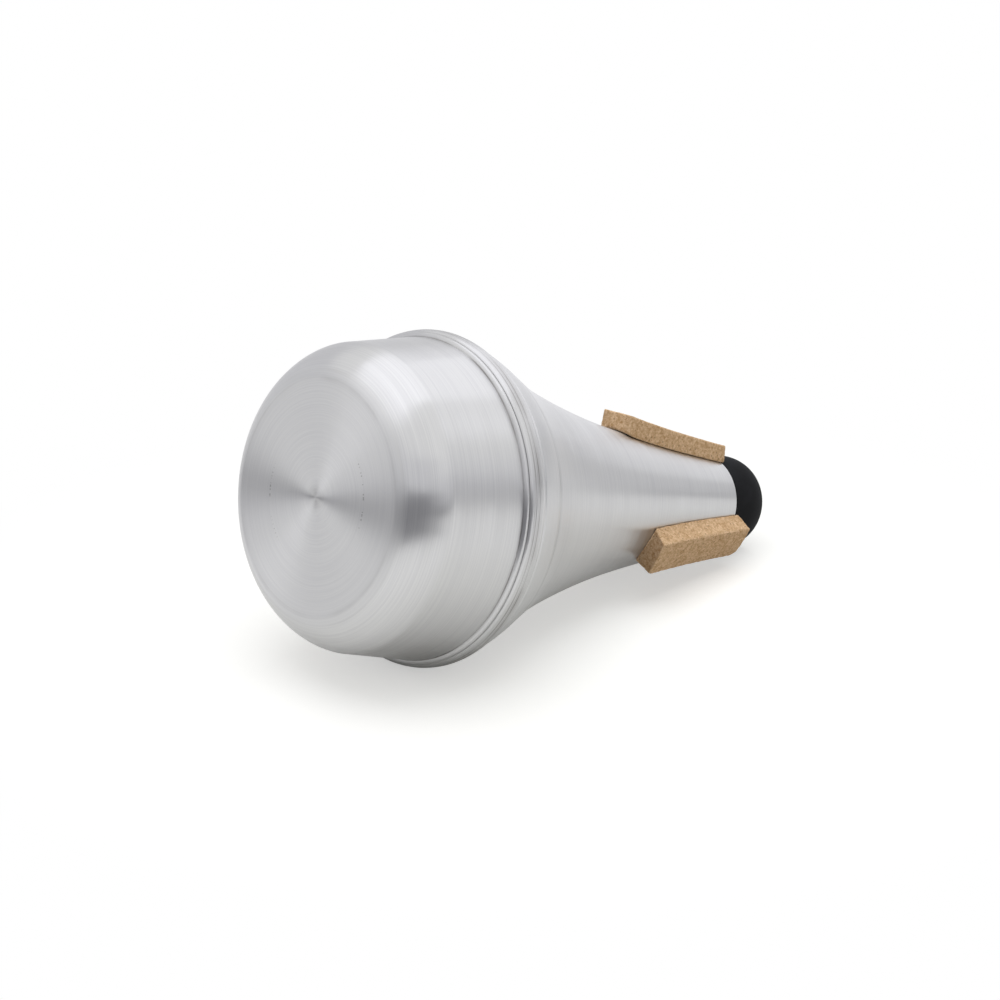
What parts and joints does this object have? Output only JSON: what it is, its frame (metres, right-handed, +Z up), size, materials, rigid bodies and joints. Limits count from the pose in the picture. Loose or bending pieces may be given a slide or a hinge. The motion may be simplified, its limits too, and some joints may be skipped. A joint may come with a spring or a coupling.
{
  "type": "trumpet straight mute",
  "caption": "Spun aluminium straight mute for a trumpet: flared cone body, flat-bottomed end cap, rubber throat ring and cork strips.",
  "frame": {"origin": "middle of the footprint, on the surface the mute lies on", "axes": "+Z up; +X towards the throat end, along the length of the lying mute; the mute's own axis lies in the XZ plane and dips 14.8 degrees towards the throat"},
  "size_m": [0.1678, 0.0902, 0.0897],
  "materials": {
    "spun_aluminium": "satin, fine concentric spinning lines",
    "black_rubber": "matte",
    "cork": "raw agglomerated cork, matte"
  },
  "bodies": {
    "root": {"end_cap": "spun_aluminium", "cone_body": "spun_aluminium", "throat_ring": "black_rubber", "cork_strip_top": "cork", "cork_strip_front": "cork", "cork_strip_rear": "cork"}
  },
  "joints": []
}
